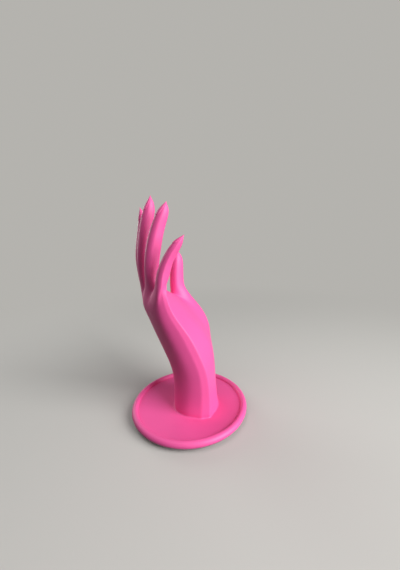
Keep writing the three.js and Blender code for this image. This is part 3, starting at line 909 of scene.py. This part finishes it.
def threaded_rings(radius, depth, low, high, pitch):
    """Rings of points of (x, y, z) whose radius rises and falls along a helix."""
    count = max(int(round((high - low) / pitch)) * THREAD_STEPS, 2)
    rings = []
    for step in range(count + 1):
        height = lerp(low, high, step / count)
        ends = min((height - low) / pitch, (high - height) / pitch, 1)
        ring = []
        for side in range(THREAD_SIDES):
            turn = (height / pitch - side / THREAD_SIDES) % 1
            groove = 1 - abs(2 * turn - 1)
            inset = depth * groove * ends
            ring.append(round_point(radius - inset, side, THREAD_SIDES, height))
        rings.append(ring)
    return rings


class DISPLAY_OT_fixings(Operator):
    """Make the countersunk screws with their threads, and the knurled brass inserts"""

    bl_idname = "display.fixings"
    bl_label = "Fixings"

    def execute(self, context):
        props = context.scene.display_fixings
        steel = metal("plain_steel", props.steel, low=0.25, high=0.4)
        brass = metal("plain_brass", props.brass, low=0.28, high=0.42)
        for name in SCREW_NODES:
            self.screw(name, props.thread_pitch, steel)
        for name in INSERT_NODES:
            self.insert(name, props, brass)
        return {"FINISHED"}

    def screw(self, name, pitch, material):
        low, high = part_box(name)
        head_radius = (high.x - low.x) / 2
        shank = SHANK_RADIUS * MM
        neck = low.z + HEAD_HEIGHT * MM
        thread = threaded_rings(
            shank, THREAD_DEPTH * MM, neck + THREAD_START * MM, high.z - POINT_CHAMFER * MM, pitch)
        rings = [
            ring_at(head_radius - HEAD_CHAMFER * MM, low.z, THREAD_SIDES),
            ring_at(head_radius, low.z + HEAD_CHAMFER * MM, THREAD_SIDES),
            ring_at(head_radius, low.z + HEAD_LAND * MM, THREAD_SIDES),
            ring_at(shank, neck, THREAD_SIDES),
            *thread,
            ring_at(shank - POINT_CHAMFER * MM, high.z, THREAD_SIDES),
        ]
        piece = object_from_bmesh(f"m3_{name}", bmesh_from_rings(rings), FIXING_SHARP_ANGLE)
        corner_radius = SOCKET_WIDTH * MM / math.sqrt(3)
        socket = [
            (0, CUT_BELOW * MM), (corner_radius, CUT_BELOW * MM),
            (corner_radius, SOCKET_DEPTH * MM), (0, (SOCKET_DEPTH + SOCKET_POINT) * MM)]
        cutter = object_from_bmesh("cutter", revolved_bmesh(socket, 6))
        cutter.data.transform(Matrix.Translation((0, 0, low.z)))
        cut_away(piece, [cutter])
        piece.data.set_sharp_from_angle(angle=math.radians(FIXING_SHARP_ANGLE))
        move_to_middle(piece, low, high)
        settle(piece, material, [name])

    def insert(self, name, props, material):
        low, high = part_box(name)
        outer = (high.x - low.x) / 2
        sides = props.knurl_teeth * 4
        rings = []
        for step in range(KNURL_STEPS + 1):
            share = step / KNURL_STEPS
            plain = any(start <= share <= end for start, end in PLAIN_BANDS)
            slant = props.knurl_teeth * KNURL_LEAN * (share if share < 0.5 else 1 - share) * 2
            ring = []
            for side in range(sides):
                turn = (side / 4 + slant) % 1
                tooth = abs(2 * turn - 1)
                radius = outer - (BAND_DEPTH * MM if plain else TOOTH_DEPTH * MM * tooth)
                ring.append(round_point(radius, side, sides, low.z + (high.z - low.z) * share))
            rings.append(ring)
        rings += [ring_at(BORE_RADIUS * MM, height, sides) for height in (high.z, low.z)]
        bm = bmesh_from_rings(rings, closed=True)
        piece = object_from_bmesh(f"brass_{name}", bm, FIXING_SHARP_ANGLE)
        move_to_middle(piece, low, high)
        settle(piece, material, [name])


def shown_to_camera(nodes, links):
    """1 for what the camera sees directly, in a mirror or through glass."""
    path = nodes.new("ShaderNodeLightPath")
    first = nodes.new("ShaderNodeMath")
    first.operation = "MAXIMUM"
    links.new(path.outputs["Is Camera Ray"], first.inputs[0])
    links.new(path.outputs["Is Glossy Ray"], first.inputs[1])
    second = nodes.new("ShaderNodeMath")
    second.operation = "MAXIMUM"
    links.new(first.outputs[0], second.inputs[0])
    links.new(path.outputs["Is Transmission Ray"], second.inputs[1])
    return second.outputs[0]


def area_light(name, place, size, energy):
    light = bpy.data.lights.new(name, "AREA")
    light.shape = "RECTANGLE"
    light.size, light.size_y = size
    light.energy = energy
    lamp = bpy.data.objects.new(name, light)
    lamp.location = place
    lamp.rotation_euler = (Vector(LIGHT_TARGET) - Vector(place)).to_track_quat("-Z", "Y").to_euler()
    bpy.context.scene.collection.objects.link(lamp)


class DISPLAY_OT_studio(Operator):
    """Lay the floor and place the lights, the sky and the camera"""

    bl_idname = "display.studio"
    bl_label = "Studio"

    def execute(self, context):
        props = context.scene.display_studio
        self.floor(props)
        self.sky(context, props)
        area_light("key", (0.88, -0.61, 0.51), (0.8, 1.1), props.key_power)
        area_light("back", (-0.9, 0.8, 0.5), (0.9, 0.7), props.back_power)
        area_light("top", (-0.3, -0.3, 1.15), (0.7, 0.7), props.top_power)
        self.camera(context)
        context.scene.view_settings.view_transform = "Standard"
        return {"FINISHED"}

    def floor(self, props):
        bm = bmesh.new()
        bmesh.ops.create_circle(bm, cap_ends=True, segments=FLOOR_SIDES, radius=FLOOR_RADIUS)
        mesh = bpy.data.meshes.new("floor")
        bm.to_mesh(mesh)
        bm.free()
        floor = new_object("floor", mesh)
        material, nodes, links, shader = material_nodes("pale_floor")
        shader.inputs["Roughness"].default_value = 0.7
        shader.inputs["Specular IOR Level"].default_value = 0.2
        shown = shown_to_camera(nodes, links)
        colour = nodes.new("ShaderNodeMix")
        colour.data_type = "RGBA"
        colour.inputs["A"].default_value = (FLOOR_BOUNCE, FLOOR_BOUNCE, FLOOR_BOUNCE, 1)
        colour.inputs["B"].default_value = (*props.floor_colour, 1)
        links.new(shown, colour.inputs["Factor"])
        links.new(colour.outputs["Result"], shader.inputs["Base Color"])
        distant = nodes.new("ShaderNodeEmission")
        distant.inputs["Color"].default_value = (*props.backdrop, 1)
        fade = nodes.new("ShaderNodeMixShader")
        links.new(self.fade_share(nodes, links, shown), fade.inputs[0])
        links.new(shader.outputs[0], fade.inputs[1])
        links.new(distant.outputs[0], fade.inputs[2])
        links.new(fade.outputs[0], nodes["Material Output"].inputs["Surface"])
        floor.data.materials.append(material)

    def fade_share(self, nodes, links, shown):
        """How far the floor has faded into the backdrop, by the distance from the display."""
        place = nodes.new("ShaderNodeTexCoord")
        distance = nodes.new("ShaderNodeVectorMath")
        distance.operation = "LENGTH"
        links.new(place.outputs["Object"], distance.inputs[0])
        share = nodes.new("ShaderNodeMapRange")
        share.interpolation_type = "SMOOTHSTEP"
        share.inputs["From Min"].default_value = FADE_START
        share.inputs["From Max"].default_value = FADE_END
        links.new(distance.outputs["Value"], share.inputs["Value"])
        seen = nodes.new("ShaderNodeMath")
        seen.operation = "MULTIPLY"
        links.new(share.outputs["Result"], seen.inputs[0])
        links.new(shown, seen.inputs[1])
        return seen.outputs[0]

    def sky(self, context, props):
        world = bpy.data.worlds.new("sky")
        world.use_nodes = True
        nodes = world.node_tree.nodes
        links = world.node_tree.links
        output = nodes["World Output"]
        lighting = nodes["Background"]
        lighting.inputs["Color"].default_value = (1, 1, 1, 1)
        lighting.inputs["Strength"].default_value = props.sky_strength
        shown = nodes.new("ShaderNodeBackground")
        shown.inputs["Color"].default_value = (*props.backdrop, 1)
        mix = nodes.new("ShaderNodeMixShader")
        links.new(shown_to_camera(nodes, links), mix.inputs["Fac"])
        links.new(lighting.outputs[0], mix.inputs[1])
        links.new(shown.outputs[0], mix.inputs[2])
        links.new(mix.outputs[0], output.inputs["Surface"])
        context.scene.world = world

    def camera(self, context):
        lens = bpy.data.cameras.new("camera")
        lens.lens = CAMERA_LENS
        lens.sensor_width = CAMERA_SENSOR
        lens.sensor_fit = "AUTO"
        lens.clip_start = CAMERA_NEAR
        camera = bpy.data.objects.new("camera", lens)
        camera.matrix_world = (
            Matrix.Translation(CAMERA_PLACE)
            @ Matrix.Rotation(math.radians(CAMERA_TILT), 4, "X")
            @ Matrix.Rotation(math.radians(CAMERA_ROLL), 4, "Z"))
        context.scene.collection.objects.link(camera)
        context.scene.camera = camera


class DISPLAY_PT_panel(Panel):
    """Lists the steps that build the display"""

    bl_label = "Hand Jewelry Display"
    bl_space_type = "VIEW_3D"
    bl_region_type = "UI"
    bl_category = "Display"

    def draw(self, context):
        layout = self.layout
        for operator in OPERATORS:
            layout.operator(operator.bl_idname)
        for group in (context.scene.display_hand, context.scene.display_tray,
                      context.scene.display_fixings, context.scene.display_studio):
            for name in group.__annotations__:
                layout.prop(group, name)


OPERATORS = (
    DISPLAY_OT_hand,
    DISPLAY_OT_nails,
    DISPLAY_OT_tray,
    DISPLAY_OT_feet,
    DISPLAY_OT_fixings,
    DISPLAY_OT_studio,
)
GROUPS = {
    "display_hand": HandProperties,
    "display_tray": TrayProperties,
    "display_fixings": FixingProperties,
    "display_studio": StudioProperties,
}


def register():
    for group in GROUPS.values():
        bpy.utils.register_class(group)
    for operator in OPERATORS:
        bpy.utils.register_class(operator)
    bpy.utils.register_class(DISPLAY_PT_panel)
    for name, group in GROUPS.items():
        setattr(bpy.types.Scene, name, PointerProperty(type=group))


def unregister():
    for name in GROUPS:
        delattr(bpy.types.Scene, name)
    bpy.utils.unregister_class(DISPLAY_PT_panel)
    for operator in reversed(OPERATORS):
        bpy.utils.unregister_class(operator)
    for group in reversed(GROUPS.values()):
        bpy.utils.unregister_class(group)


def main():
    register()
    bpy.ops.display.hand()
    bpy.ops.display.nails()
    bpy.ops.display.tray()
    bpy.ops.display.feet()
    bpy.ops.display.fixings()
    bpy.ops.display.studio()


if __name__ == "__main__":
    main()
